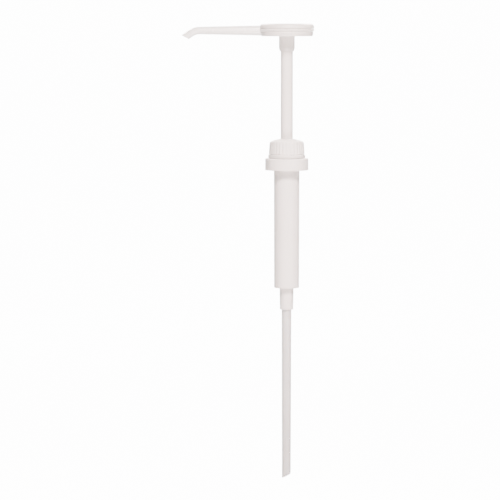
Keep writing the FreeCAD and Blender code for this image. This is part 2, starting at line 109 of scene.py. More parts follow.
# spout
SPOUT_BEND_R = 16.0 * MM
SPOUT_DROP = math.radians(35)
SPOUT_CUT = math.radians(29)  # of the slanted end, from level
SPOUT_TIP_LENGTH = 5.85 * MM
SPOUT_TAPER = 1.18 * MM  # off the radius, from the head to the tip
SPOUT_BORE_R = 2.6 * MM
SPOUT_BORE_FLARE = 0.3 * MM  # on the radius, at the rim of the head
SPOUT_PLUG_R = 4.0 * MM
SPOUT_PLUG_EASE = 0.4 * MM
SPOUT_SHOULDER_X = 24.6 * MM
SPOUT_EASE = 0.3 * MM
SPOUT_RUN_STEPS = 24
SPOUT_BEND_STEPS = 16
SEAM = 0.12 * MM  # how far the mould's parting line stands out
SEAM_SPREAD = 0.07  # half its width, as a share of the spout's radius
# stem
ROD_R = 5.75 * MM
ROD_EASE = 0.6 * MM
STEM_BORE_R = 3.9 * MM
STEM_FOOT_T = 1.7 * MM
# collar
FLUTES = 32
FLUTE_DEPTH = 0.45 * MM
FLUTE_SPREAD = 0.36  # half a flute's width, as a share of the room for one
FLUTE_STEPS = 10  # faces across the room for one
COLLAR_HOLE_R = 6.05 * MM
COLLAR_CAVITY_R = 13.15 * MM
COLLAR_SIDE_FOOT = 3.9 * MM  # the fluted side's, above the foot of the collar
COLLAR_SIDE_TOP = 14.7 * MM
COLLAR_SIDE_STEPS = 8
COLLAR_ROOF = 4.3 * MM
WIPER_ROOM = (8.92 * MM, 2.4 * MM)  # radius, depth
COLLAR_THREAD_Z = 6.5 * MM
COLLAR_THREAD_PITCH = 3 * MM
COLLAR_THREAD_TURNS = 2
COLLAR_THREAD_GAP = 0.05 * MM
# cap
CAP_WALL = 1.65 * MM
CAP_ROOF = 1.5 * MM
CAP_HOLE_R = 14.4 * MM
CAP_THREAD_PITCH = 4.23 * MM
CAP_THREAD_TURNS = 0.95
CAP_THREAD_HEIGHT = 1.05 * MM
# threads
THREAD_STEPS = 64  # for a whole turn
THREAD_RUN_OUT = 6  # steps over which each end rises
THREAD_ROOT = 0.2 * MM  # how far a ridge is sunk into its wall
THREAD_FOOT = 1.0 * MM  # half the width of a ridge, at its root
THREAD_TOP = 0.4 * MM  # and at its crest
# cylinder
BORE_R = 10.5 * MM
UPSTAND_R = 13.0 * MM
FLANGE_TOP_Z = 2.4 * MM
FLANGE_LOW_Z = 1.0 * MM
BARREL_R = 12.2 * MM
BARREL_LOW_R = 11.95 * MM
BARREL_FLOOR = 1.7 * MM
NECK_R = 6.8 * MM
NECK_LOW_R = 6.4 * MM
GROOVE_DEPTH = 0.08 * MM
INLET_R = 2.4 * MM
INLET_LENGTH = 1.7 * MM
CONE_R = 5.2 * MM
CONE_DEPTH = 2.8 * MM
VENT_R = 0.8 * MM
VENT_Z = -11 * MM
# dip tube
TUBE_WALL = 1.15 * MM
TUBE_TAPER = 0.39 * MM  # off the radius
TUBE_CUT = math.radians(27)
TUBE_EASE = 0.15 * MM
TUBE_STEPS = 30
# spring
WIRE_R = 0.55 * MM
WIRE_FACES = 12
SPRING_TURNS = 10
SPRING_STEPS = 40  # for a whole turn
SPRING_END_GAP = 0.2 * MM  # between the closed turns at each end

# camera
VIEW_DISTANCE = 2.4
VIEW_HEIGHT = 0.4746  # of the picture, at the pump
VIEW_Z = 0.125
VIEW_SHIFT = 2 * MM  # to the right of the pump's middle
AIM_Z = -0.0835
# studio: the part of the sweep behind the pump is lit from within
FLOOR_DROP = 0.12  # from the end of the dip tube
LIT = 13.5  # strength of the light
LIT_SLOPE = 0.104  # half-width of the lit part, per metre from the camera
LIT_FADE_SLOPE = 0.2704  # where it has faded out
LIT_FRONT = (0.20, 0.50)  # from dark to lit, back from the pump
LIT_TOP = (0.24, 1.04)  # from lit to dark, upwards
WARM = (1.0, 0.835, 0.785)  # the lamps' colour


# ---------- meshes ----------

def made(name, bm, material, node):
    """An object from the mesh, in a material, in place of its CAD node."""
    bmesh.ops.remove_doubles(bm, verts=bm.verts, dist=WELD)
    bmesh.ops.recalc_face_normals(bm, faces=bm.faces)
    mesh = bpy.data.meshes.new(name)
    bm.to_mesh(mesh)
    bm.free()
    smooth(mesh)
    mesh.materials.append(material)
    obj = bpy.data.objects.new(name, mesh)
    bpy.context.scene.collection.objects.link(obj)
    normals = obj.modifiers.new("even normals", "WEIGHTED_NORMAL")
    normals.keep_sharp = True
    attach(obj, body_of_node(node))
    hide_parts(node)
    return obj


def smooth(mesh):
    """Shades the mesh smooth, apart from its edges."""
    mesh.shade_smooth()
    mesh.set_sharp_from_angle(angle=math.radians(40))


def body_of_node(node):
    """The CAD body that the node belongs to."""
    bodies = frame["record"]["behaviour"]["bodies"]
    return next(body for body, nodes in bodies.items() if node in nodes)


def rounded(corners):
    """The points of a closed outline from (radius, height, rounding) corners."""
    points = []
    count = len(corners)
    for i, (r, z, ease) in enumerate(corners):
        here = Vector((r, z))
        if ease <= 0:
            points.append(here)
            continue
        before = Vector(corners[i - 1][:2]) - here
        after = Vector(corners[(i + 1) % count][:2]) - here
        half = before.angle(after) / 2
        reach = min(ease / math.tan(half), before.length * 0.45, after.length * 0.45)
        start = here + before.normalized() * reach
        end = here + after.normalized() * reach
        for step in range(ROUND_STEPS + 1):
            t = step / ROUND_STEPS
            points.append(start.lerp(here, t).lerp(here.lerp(end, t), t))
    return points


def arc(centre_r, centre_z, radius, start, end):
    """Corners along part of a circle, between two angles in degrees up from level."""
    steps = 2 * ROUND_STEPS
    angles = [math.radians(start + (end - start) * i / steps) for i in range(steps + 1)]
    return [(centre_r + radius * math.cos(a), centre_z + radius * math.sin(a), 0) for a in angles]


def turned(corners, segments=SEGMENTS, shape=None):
    """A mesh turned about Z from a closed outline. shape(angle, r, z) may change the radius."""
    bm = bmesh.new()
    rings = []
    for point in rounded(corners):
        ring = []
        for i in range(segments):
            angle = 2 * math.pi * i / segments
            r = shape(angle, point.x, point.y) if shape else point.x
            ring.append(bm.verts.new((r * math.cos(angle), r * math.sin(angle), point.y)))
        rings.append(ring)
    skin_rings(bm, rings, closed=True)
    return bm


def skin_rings(bm, rings, closed):
    """Faces between each ring of vertices and the next."""
    pairs = list(zip(rings, rings[1:]))
    if closed:
        pairs.append((rings[-1], rings[0]))
    for low, high in pairs:
        for i in range(len(low)):
            j = (i + 1) % len(low)
            bm.faces.new((low[i], low[j], high[j], high[i]))


def helix_ridge(root_r, crest_r, pitch, turns, start_z, spare=0.0):
    """A helical ridge with tapered-off ends, such as a moulded thread, to join on or cut with. spare
    makes it that much larger all round."""
    bm = bmesh.new()
    steps = int(turns * THREAD_STEPS)
    foot = THREAD_FOOT + spare
    top = THREAD_TOP + spare
    rings = []
    for step in range(steps + 1):
        angle = 2 * math.pi * turns * step / steps
        z = start_z + pitch * turns * step / steps
        rise = min(step, steps - step, THREAD_RUN_OUT) / THREAD_RUN_OUT
        crest = root_r + (crest_r - root_r) * (0.1 + 0.9 * rise) + spare
        section = [(root_r, -foot), (crest, -top), (crest, top), (root_r, foot)]
        rings.append([
            bm.verts.new((r * math.cos(angle), r * math.sin(angle), z + dz)) for r, dz in section
        ])
    skin_rings(bm, rings, closed=False)
    bm.faces.new(rings[0])
    bm.faces.new(reversed(rings[-1]))
    return bm


def swept(bm, path, inner, outer):
    """Adds a hollow tube along a path of (centre, sideways, up) rings. inner and outer give the
    radius at (index, angle). Returns the rings of the outer and the inner wall."""
    walls = []
    for radius in (outer, inner):
        rings = []
        for i, (centre, side, up) in enumerate(path):
            ring = []
            for k in range(SEGMENTS):
                angle = 2 * math.pi * k / SEGMENTS
                spoke = side * math.cos(angle) + up * math.sin(angle)
                ring.append(bm.verts.new(centre + spoke * radius(i, angle)))
            rings.append(ring)
        skin_rings(bm, rings, closed=False)
        walls.append(rings)
    outside, inside = walls
    for end in (0, -1):
        for i in range(SEGMENTS):
            j = (i + 1) % SEGMENTS
            bm.faces.new((outside[end][i], outside[end][j], inside[end][j], inside[end][i]))
    return walls


def carve(obj, bm, operation="DIFFERENCE"):
    """Cuts the mesh out of the object, or joins it on if the operation is UNION."""
    bmesh.ops.recalc_face_normals(bm, faces=bm.faces)
    mesh = bpy.data.meshes.new("tool")
    bm.to_mesh(mesh)
    bm.free()
    mesh.materials.append(obj.data.materials[0])
    tool = bpy.data.objects.new("tool", mesh)
    bpy.context.scene.collection.objects.link(tool)
    step = obj.modifiers.new("step", "BOOLEAN")
    step.operation = operation
    step.solver = "EXACT"
    step.object = tool
    bpy.context.view_layer.update()
    graph = bpy.context.evaluated_depsgraph_get()
    done = bpy.data.meshes.new_from_object(obj.evaluated_get(graph))
    obj.modifiers.remove(step)
    obj.data = done
    bpy.data.objects.remove(tool)
    bm = bmesh.new()
    bm.from_mesh(done)
    bmesh.ops.remove_doubles(bm, verts=bm.verts, dist=SLIVER)
    bm.to_mesh(done)
    bm.free()


def rod(radius, start, end, segments=96):
    """A plain rod between two points, to join on or cut with."""
    bm = bmesh.new()
    turn = (end - start).to_track_quat("Z", "Y").to_matrix().to_4x4()
    place = Matrix.Translation((start + end) / 2) @ turn
    bmesh.ops.create_cone(
        bm, cap_ends=True, segments=segments, radius1=radius, radius2=radius,
        depth=(end - start).length, matrix=place,
    )
    return bm


def block(low, high):
    """A box between two corners, to join on or cut with."""
    bm = bmesh.new()
    place = Matrix.Translation((low + high) / 2) @ Matrix.Diagonal((*(high - low), 1))
    bmesh.ops.create_cube(bm, size=1, matrix=place)
    return bm


# ---------- materials ----------

class Nodes:
    """A short way to write a material's node tree."""

    def __init__(self, name):
        self.material = bpy.data.materials.new(name)
        self.material.use_nodes = True
        self.tree = self.material.node_tree
        self.shader = self.tree.nodes["Principled BSDF"]
        self.place = self.add("ShaderNodeTexCoord").outputs["Object"]

    def add(self, kind, **settings):
        node = self.tree.nodes.new(kind)
        for key, value in settings.items():
            setattr(node, key, value)
        return node

    def link(self, source, target):
        self.tree.links.new(source, target)

    def noise(self, scale, stretch=(1, 1, 1), detail=3.0):
        """A noise value, finer where scale is larger and drawn out where stretch is smaller."""
        mapping = self.add("ShaderNodeMapping")
        mapping.inputs["Scale"].default_value = stretch
        self.link(self.place, mapping.inputs["Vector"])
        noise = self.add("ShaderNodeTexNoise")
        noise.inputs["Scale"].default_value = scale
        noise.inputs["Detail"].default_value = detail
        self.link(mapping.outputs["Vector"], noise.inputs["Vector"])
        return noise.outputs["Fac"]

    def between(self, value, low, high):
        """A noise value's usual spread, 0.3 to 0.7, mapped onto low to high."""
        return self.span("LINEAR", value, 0.3, 0.7, low, high)

    def ramp(self, value, start, end, low, high):
        """Low before start, high after end, and a smooth change between them."""
        return self.span("SMOOTHSTEP", value, start, end, low, high)

    def span(self, interpolation, value, start, end, low, high):
        """The value from start to end, mapped onto low to high."""
        node = self.add("ShaderNodeMapRange", interpolation_type=interpolation)
        node.inputs["From Min"].default_value = start
        node.inputs["From Max"].default_value = end
        node.inputs["To Min"].default_value = low
        node.inputs["To Max"].default_value = high
        self.link(value, node.inputs["Value"])
        return node.outputs["Result"]

    def calculate(self, operation, first, second=None):
        """The result of a calculation on one or two values, each a socket or a number."""
        node = self.add("ShaderNodeMath", operation=operation)
        for value, socket in zip((first, second), node.inputs):
            if isinstance(value, (int, float)):
                socket.default_value = value
            elif value is not None:
                self.link(value, socket)
        return node.outputs["Value"]

    def mix(self, value, first, second):
        """A colour between two, by the value."""
        mix = self.add("ShaderNodeMix", data_type="RGBA")
        mix.inputs["A"].default_value = (*first, 1)
        mix.inputs["B"].default_value = (*second, 1)
        self.link(value, mix.inputs["Factor"])
        return mix.outputs["Result"]

    def bump(self, value, distance, after=None):
        """Relief of that many metres, on top of the relief before it."""
        bump = self.add("ShaderNodeBump")
        bump.inputs["Distance"].default_value = distance
        bump.inputs["Strength"].default_value = 1.0
        self.link(value, bump.inputs["Height"])
        if after:
            self.link(after, bump.inputs["Normal"])
        return bump.outputs["Normal"]


def shade(tone, share):
    """The tone, darkened to a share of itself."""
    return tuple(c * share for c in tone)


def plastic(name, tone, rough, glow=0.1, streaks=1.0, shine=0.5):
    """Moulded white plastic: cloudy tone, faint flow streaks along the draw, fine satin grain."""
    nodes = Nodes(name)
    cloud = nodes.noise(38.0)
    streak = nodes.noise(60.0, stretch=(6, 6, 0.35), detail=4.0)
    grain = nodes.noise(1500.0)
    tint = nodes.mix(nodes.between(cloud, 0.0, 1.0), shade(tone, 0.965), tone)
    nodes.link(tint, nodes.shader.inputs["Base Color"])
    nodes.link(nodes.between(streak, rough - 0.05, rough + 0.06), nodes.shader.inputs["Roughness"])
    relief = nodes.bump(streak, 0.04 * MM * streaks)
    relief = nodes.bump(grain, 0.012 * MM, after=relief)
    nodes.link(relief, nodes.shader.inputs["Normal"])
    nodes.shader.inputs["IOR"].default_value = 1.49
    nodes.shader.inputs["Specular IOR Level"].default_value = shine
    nodes.shader.inputs["Subsurface Weight"].default_value = glow
    nodes.shader.inputs["Subsurface Radius"].default_value = (1.0, 0.85, 0.7)
    nodes.shader.inputs["Subsurface Scale"].default_value = 1.5 * MM
    return nodes.material


def rubber(name, tone):
    """Soft moulded rubber: matt, with a powdery bloom."""
    nodes = Nodes(name)
    bloom = nodes.noise(220.0)
    grain = nodes.noise(2600.0)
    tint = nodes.mix(nodes.between(bloom, 0.0, 1.0), shade(tone, 0.85), tone)
    nodes.link(tint, nodes.shader.inputs["Base Color"])
    nodes.link(nodes.between(bloom, 0.6, 0.8), nodes.shader.inputs["Roughness"])
    nodes.link(nodes.bump(grain, 0.03 * MM), nodes.shader.inputs["Normal"])
    return nodes.material


def foam(name, tone):
    """Closed-cell gasket foam: matt, with small cells."""
    nodes = Nodes(name)
    cells = nodes.add("ShaderNodeTexVoronoi")
    cells.inputs["Scale"].default_value = 1800.0
    nodes.link(nodes.place, cells.inputs["Vector"])
    depth = cells.outputs["Distance"]
    tint = nodes.mix(nodes.between(depth, 0.0, 1.0), tone, shade(tone, 0.8))
    nodes.link(tint, nodes.shader.inputs["Base Color"])
    nodes.link(nodes.between(nodes.noise(300.0), 0.75, 0.95), nodes.shader.inputs["Roughness"])
    nodes.link(nodes.bump(depth, 0.06 * MM), nodes.shader.inputs["Normal"])
    return nodes.material


def steel(name, tone, rough, stretch):
    """Stainless steel, with drawing or polishing marks along its stretch."""
    nodes = Nodes(name)
    marks = nodes.noise(900.0, stretch=stretch, detail=5.0)
    stain = nodes.noise(70.0)
    tint = nodes.mix(nodes.between(stain, 0.0, 1.0), shade(tone, 0.88), tone)
    nodes.link(tint, nodes.shader.inputs["Base Color"])
    nodes.link(nodes.between(marks, rough - 0.06, rough + 0.1), nodes.shader.inputs["Roughness"])
    nodes.link(nodes.bump(marks, 0.006 * MM), nodes.shader.inputs["Normal"])
    nodes.shader.inputs["Metallic"].default_value = 1.0
    return nodes.material


def studio_white(name):
    """The painted sweep, lit up like a light table where it lies behind the pump."""
    nodes = Nodes(name)
    stain = nodes.between(nodes.noise(3.0), 0.0, 1.0)
    tint = nodes.mix(stain, (0.80, 0.80, 0.80), (0.83, 0.83, 0.83))
    nodes.link(tint, nodes.shader.inputs["Base Color"])
    nodes.link(nodes.between(nodes.noise(40.0), 0.85, 0.95), nodes.shader.inputs["Roughness"])
    nodes.shader.inputs["Specular IOR Level"].default_value = 0.1
    axes = nodes.add("ShaderNodeSeparateXYZ")
    nodes.link(nodes.place, axes.inputs["Vector"])
    aside = nodes.calculate("ABSOLUTE", nodes.calculate("SUBTRACT", axes.outputs["X"], view_x()))
    away = nodes.calculate("ADD", axes.outputs["Y"], VIEW_DISTANCE)
    slope = nodes.calculate("DIVIDE", aside, away)
    beside = nodes.ramp(slope, LIT_SLOPE, LIT_FADE_SLOPE, 1.0, 0.0)
    behind = nodes.ramp(axes.outputs["Y"], *LIT_FRONT, 0.0, 1.0)
    below = nodes.ramp(axes.outputs["Z"], *LIT_TOP, 1.0, 0.0)
    zone = nodes.calculate("MULTIPLY", nodes.calculate("MULTIPLY", beside, behind), below)
    nodes.link(nodes.calculate("MULTIPLY", zone, LIT), nodes.shader.inputs["Emission Strength"])
    nodes.shader.inputs["Emission Color"].default_value = (0.99, 1.0, 0.995, 1)
    return nodes.material


# ---------- pieces ----------

def spout_edge_r():
    """The spout's radius where it meets the head, half its width."""
    low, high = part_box("spout")
    return (high.y - low.y) / 2


def spout_axis_z():
    """The height of the spout's straight run."""
    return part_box("spout")[1].z - spout_edge_r()


def spout(material):
    """The long tapered tube, bent down and cut at a slant, with its parting line."""
    low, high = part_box("spout")
    edge_r = spout_edge_r()
    tip_r = edge_r - SPOUT_TAPER
    axis_z = spout_axis_z()
    bend_x = bend_start_x(low.x, tip_r)
    run_x = -SPOUT_SHOULDER_X - SPOUT_EASE
    rim_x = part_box("head_shell")[0].x
    stations = []  # centre, lean, radius
    for x, r in [
        (high.x, SPOUT_PLUG_R - SPOUT_PLUG_EASE),
        (high.x - SPOUT_PLUG_EASE, SPOUT_PLUG_R),
        (-SPOUT_SHOULDER_X, SPOUT_PLUG_R),
        (-SPOUT_SHOULDER_X, edge_r - SPOUT_EASE),
    ]:
        stations.append((Vector((x, 0, axis_z)), 0, r))
    plug_rings = len(stations)
    for i in range(SPOUT_RUN_STEPS + 1):
        t = i / SPOUT_RUN_STEPS
        stations.append((Vector((run_x + (bend_x - run_x) * t, 0, axis_z)), 0, edge_r - SPOUT_TAPER * t))
    for i in range(1, SPOUT_BEND_STEPS + 1):
        lean = SPOUT_DROP * i / SPOUT_BEND_STEPS
        out = SPOUT_BEND_R * math.sin(lean)
        down = SPOUT_BEND_R * (1 - math.cos(lean))
        stations.append((Vector((bend_x - out, 0, axis_z - down)), lean, tip_r))
    bend_end = stations[-1][0]
    way = Vector((-math.cos(SPOUT_DROP), 0, -math.sin(SPOUT_DROP)))
    for reach, r in [
        (SPOUT_TIP_LENGTH - 4 * SPOUT_EASE, tip_r),
        (SPOUT_TIP_LENGTH - SPOUT_EASE, tip_r),
        (SPOUT_TIP_LENGTH, tip_r - SPOUT_EASE),
    ]:
        stations.append((bend_end + way * reach, SPOUT_DROP, r))

    def outer(i, angle):
        ridge = max(0.0, 1 - abs(math.sin(angle)) / SEAM_SPREAD)
        plain = i < plug_rings or i >= len(stations) - 2
        return stations[i][2] + (0 if plain else SEAM * ridge)

    def inner(i, angle):
        along = (stations[i][0].x - bend_x) / (rim_x - bend_x)
        return SPOUT_BORE_R + SPOUT_BORE_FLARE * max(0.0, along)

    side = Vector((0, 1, 0))
    path = [
        (centre, side, Vector((-math.sin(lean), 0, math.cos(lean)))) for centre, lean, r in stations
    ]
    bm = bmesh.new()
    slant(swept(bm, path, inner, outer), way)
    return made("spout_tube", bm, material, "spout")


def bend_start_x(tip_x, tip_r):
    """Where the spout starts to bend, so that its tip's upper lip reaches tip_x."""
    lip = SPOUT_TIP_LENGTH + tip_r / math.tan(SPOUT_DROP + SPOUT_CUT)
    sin, cos = math.sin(SPOUT_DROP), math.cos(SPOUT_DROP)
    return tip_x + SPOUT_BEND_R * sin + lip * cos + tip_r * sin


def slant(walls, way):
    """Moves the last rings of the tip along its way until they lie parallel to the slanted cut."""
    normal = Vector((-math.sin(SPOUT_CUT), 0, -math.cos(SPOUT_CUT)))
    for rings in walls:
        for ring in rings[-3:]:
            middle = sum((v.co for v in ring), Vector()) / len(ring)
            for vert in ring:
                vert.co += way * ((middle - vert.co).dot(normal) / way.dot(normal))


def notch_out(obj, low_z, high_z):
    """Cuts the room for the spout out of a disc of the head."""
    axis_z = spout_axis_z()
    past_shoulder = SPOUT_SHOULDER_X + MM
    past_rim = 32 * MM
    for radius, near, far in [
        (SPOUT_PLUG_R + NOTCH_GAP, BOSS_X, past_shoulder),
        (spout_edge_r() + NOTCH_GAP, SPOUT_SHOULDER_X, past_rim),
    ]:
        carve(obj, rod(radius, Vector((-near, 0, axis_z)), Vector((-far, 0, axis_z))))
        carve(obj, block(Vector((-far, -radius, low_z)), Vector((-near, radius, high_z))))


def head_shell(material):
    """The lower disc with its grooved edge, its ribs and boss, and the socket over the stem."""
    low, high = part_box("head_shell")
    rim_r = high.x
    plug_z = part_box("head_cover")[0].z
    stem_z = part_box("stem")[1].z
    foot = plug_z - SHELL_DEPTH
    floor = foot + SHELL_FLOOR
    split = plug_z + PLUG_DEPTH - SPLIT_GAP
    roof = high.z - SOCKET_ROOF
    bore_r = ROD_R + SEAT
    bm = turned([
        (bore_r, low.z, 0.15 * MM),
        (SOCKET_R - 0.9 * MM, low.z, 0.4 * MM),
        (SOCKET_R - 0.1 * MM, low.z + 2.7 * MM, 0.3 * MM),
        (SOCKET_R, low.z + 3.1 * MM, 0.1 * MM),
        (SOCKET_R, foot, 0.5 * MM),
        (rim_r - 1.6 * MM, foot, 0.9 * MM),
        (rim_r - 0.7 * MM, foot + 3.4 * MM, 0.3 * MM),
        (rim_r - 1.1 * MM, foot + 3.8 * MM, 0.15 * MM),
        (rim_r - 1.1 * MM, foot + 4.2 * MM, 0.2 * MM),
        (rim_r, foot + 5.3 * MM, 0.3 * MM),
        (rim_r, split - 0.5 * MM, 0.2 * MM),
        (rim_r - 0.6 * MM, split, 0.1 * MM),
        (rim_r - RIM_WALL, split, 0.2 * MM),
        (rim_r - RIM_WALL, floor, 0.4 * MM),
        (SOCKET_R, floor, 0.4 * MM),
        (SOCKET_R, high.z, 0.3 * MM),
        (0, high.z, 0),
        (0, roof, 0),
        (STEM_BORE_R, roof, 0.3 * MM),
        (STEM_BORE_R, stem_z, 0),
        (bore_r, stem_z, 0.1 * MM),
    ])
    obj = made("head_lower_disc", bm, material, "head_shell")
    for i in range(HEAD_RIBS):
        rib = block(
            Vector((SOCKET_R - BITE, -RIB_T / 2, floor - BITE)),
            Vector((rim_r - RIM_WALL + BITE, RIB_T / 2, floor + RIB_HEIGHT)),
        )
        rib.transform(Matrix.Rotation(math.pi * (2 * i + 1) / HEAD_RIBS, 4, "Z"))
        carve(obj, rib, "UNION")
    spout_boss(obj, stem_z, roof)
    notch_out(obj, spout_axis_z(), split + MM)
    return obj


def spout_boss(obj, stem_z, roof):
    """Adds the boss that the spout's plug is pushed into, open to the stem's bore."""
    axis_z = spout_axis_z()
    centre = Vector((0, 0, axis_z))
    boss_end = Vector((-BOSS_X, 0, axis_z))
    past_boss = boss_end - Vector((0.1 * MM, 0, 0))
    plug_end = Vector((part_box("spout")[1].x, 0, axis_z))
    carve(obj, rod(SPOUT_PLUG_R + BOSS_WALL, centre, boss_end), "UNION")
    carve(obj, rod(SPOUT_PLUG_R + SEAT, plug_end, past_boss))
    carve(obj, rod(PORT_R, centre, past_boss))
    carve(obj, rod(STEM_BORE_R - SEAT / 2, Vector((0, 0, stem_z)), Vector((0, 0, roof))))


def head_cover(material):
    """The domed top disc that snaps into the lower one."""
    low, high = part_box("head_cover")
    rim_r = high.x
    plug_r = rim_r - RIM_WALL - SEAT
    lip = low.z + PLUG_DEPTH
    ceiling = high.z - COVER_WALL
    bm = turned([
        (plug_r - PLUG_WALL, low.z, 0.2 * MM),
        (plug_r, low.z, 0.2 * MM),
        (plug_r, lip, 0.1 * MM),
        (rim_r - 0.6 * MM, lip, 0.1 * MM),
        (rim_r, lip + 0.5 * MM, 0.2 * MM),
        *arc(rim_r - EDGE_R, high.z - DOME_DROP - EDGE_R, EDGE_R, 0, 88),
        (rim_r * 0.5, high.z - DOME_DROP / 4, 8.0 * MM),
        (0, high.z, 0),
        (0, ceiling, 0),
        (plug_r - PLUG_WALL, ceiling, 0.3 * MM),
    ])
    obj = made("head_top_disc", bm, material, "head_cover")
    notch_out(obj, low.z - MM, spout_axis_z())
    return obj


def stem(material):
    """The hollow rod, with the foot that the piston turns on."""
    low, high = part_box("stem")
    foot_r = high.x
    foot_top = low.z + STEM_FOOT_T
    bm = turned([
        (STEM_BORE_R, low.z, 0.15 * MM),
        (foot_r, low.z, 0.15 * MM),
        (foot_r, foot_top, 0.15 * MM),
        (ROD_R, foot_top, 0),
        (ROD_R, high.z - ROD_EASE, 0.2 * MM),
        (ROD_R - ROD_EASE, high.z, 0.2 * MM),
        (STEM_BORE_R, high.z, 0.15 * MM),
    ])
    return made("pump_rod", bm, material, "stem")


def collar_thread(spare=0.0):
    """The ridge on the cylinder's upstand, or with spare the groove for it in the collar."""
    return helix_ridge(
        UPSTAND_R - THREAD_ROOT, UPSTAND_R + 0.9 * MM,
        COLLAR_THREAD_PITCH, COLLAR_THREAD_TURNS, COLLAR_THREAD_Z, spare,
    )


def retaining_collar(material):
    """The fluted, domed knob with the ring at its foot."""
    low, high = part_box("retaining_collar")
    ring_r = high.y
    side_foot = low.z + COLLAR_SIDE_FOOT
    side_top = low.z + COLLAR_SIDE_TOP
    side_height = side_top - side_foot
    wiper_r, wiper_depth = WIPER_ROOM
    roof = high.z - COLLAR_ROOF

    def fluted(angle, r, z):
        across = (angle * FLUTES / (2 * math.pi)) % 1.0 - 0.5
        hollow = max(0.0, 1 - (across / FLUTE_SPREAD) ** 2)
        above_foot = (z - side_foot) / (0.6 * MM)
        below_top = (side_top + 0.9 * MM - z) / (1.2 * MM)
        outside = r > ring_r - 2.2 * MM
        return r - FLUTE_DEPTH * hollow * clamped(above_foot) * clamped(below_top) * outside

    sides = []
    for i in range(1, COLLAR_SIDE_STEPS):
        t = i / COLLAR_SIDE_STEPS
        sides.append((ring_r - (0.6 + 0.7 * t) * MM, side_foot + side_height * t, 0))
    bm = turned([
        (COLLAR_CAVITY_R, low.z, 0.2 * MM),
        (ring_r, low.z, 0.6 * MM),
        (ring_r, low.z + 3.0 * MM, 0.4 * MM),
        (ring_r - 1.1 * MM, low.z + 3.2 * MM, 0.1 * MM),
        (ring_r - 1.1 * MM, low.z + 3.5 * MM, 0.1 * MM),
        (ring_r - 0.6 * MM, side_foot, 0.2 * MM),
        *sides,
        (ring_r - 1.3 * MM, side_top - 0.4 * MM, 0.5 * MM),
        (ring_r - 2.1 * MM, side_top + 0.8 * MM, 0.8 * MM),
        (ring_r - 5.6 * MM, side_top + 2.2 * MM, 6.0 * MM),
        (COLLAR_HOLE_R + 0.7 * MM, high.z, 0.4 * MM),
        (COLLAR_HOLE_R, high.z - 0.3 * MM, 0.1 * MM),
        (COLLAR_HOLE_R, roof, 0),
        (wiper_r, roof, 0),
        (wiper_r, roof - wiper_depth, 0),
        (COLLAR_CAVITY_R, roof - wiper_depth, 0),
    ], segments=FLUTES * FLUTE_STEPS, shape=fluted)
    obj = made("collar_knob", bm, material, "retaining_collar")
    carve(obj, collar_thread(spare=COLLAR_THREAD_GAP))
    return obj


def clamped(value):
    """The value, kept between 0 and 1."""
    return min(max(value, 0), 1)


def screw_cap(material):
    """The plain cap with the bottle thread inside it."""
    low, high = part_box("screw_cap")
    cap_r = high.x
    root_r = cap_r - CAP_WALL
    underside = high.z - CAP_ROOF
    bm = turned([
        (CAP_HOLE_R, underside, 0.2 * MM),
        (CAP_HOLE_R, high.z, 0.2 * MM),
        (cap_r - 0.1 * MM, high.z, 1.1 * MM),
        (cap_r, low.z + 0.9 * MM, 0.1 * MM),
        (cap_r, low.z, 0.3 * MM),
        (root_r, low.z, 0.3 * MM),
        (root_r, underside, 0.4 * MM),
    ])
    obj = made("bottle_cap", bm, material, "screw_cap")
    thread = helix_ridge(
        root_r + THREAD_ROOT, root_r - CAP_THREAD_HEIGHT,
        CAP_THREAD_PITCH, CAP_THREAD_TURNS, low.z + 1.6 * MM,
    )
    carve(obj, thread, "UNION")
    smooth(obj.data)
    return obj


def pump_cylinder(material):
    """The barrel with its flange and upstand, and the ringed neck that holds the dip tube."""
    low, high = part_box("pump_cylinder")
    flange_r = high.x
    taper_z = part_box("screw_cap")[0].z - 3.5 * MM
    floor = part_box("inlet_ball_cage")[0].z - SEAT
    barrel_low = floor - BARREL_FLOOR
    cone_low = floor - CONE_DEPTH
    inlet_low = cone_low - INLET_LENGTH
    tube_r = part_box("dip_tube")[1].x + SEAT
    groove_z = low.z + 3.6 * MM
    bm = turned([
        (BORE_R, high.z, 0.2 * MM),
        (UPSTAND_R, high.z, 0.2 * MM),
        (UPSTAND_R, FLANGE_TOP_Z, 0.2 * MM),
        (flange_r, FLANGE_TOP_Z, 0.2 * MM),
        (flange_r, FLANGE_LOW_Z, 0.2 * MM),
        (BARREL_R, FLANGE_LOW_Z, 0.3 * MM),
        (BARREL_R, taper_z, 0),
        (BARREL_LOW_R, barrel_low, 0.5 * MM),
        (NECK_R, barrel_low, 0.4 * MM),
        (NECK_LOW_R + 0.05 * MM, groove_z + 0.4 * MM, 0.1 * MM),
        (NECK_LOW_R - GROOVE_DEPTH, groove_z + 0.2 * MM, 0.1 * MM),
        (NECK_LOW_R - GROOVE_DEPTH, groove_z - 0.2 * MM, 0.1 * MM),
        (NECK_LOW_R, groove_z - 0.4 * MM, 0.1 * MM),
        (NECK_LOW_R, low.z, 0.5 * MM),
        (tube_r, low.z, 0.2 * MM),
        (tube_r, inlet_low, 0.1 * MM),
        (INLET_R, inlet_low, 0.2 * MM),
        (INLET_R, cone_low, 0.1 * MM),
        (CONE_R, floor, 0.2 * MM),
        (BORE_R, floor, 0.4 * MM),
    ])
    obj = made("barrel", bm, material, "pump_cylinder")
    carve(obj, collar_thread(), "UNION")
    vent_start = Vector((0, BORE_R - 2.5 * MM, VENT_Z))
    vent_end = Vector((0, BARREL_R + 2.8 * MM, VENT_Z))
    carve(obj, rod(VENT_R, vent_start, vent_end, segments=32))
    smooth(obj.data)
    return obj


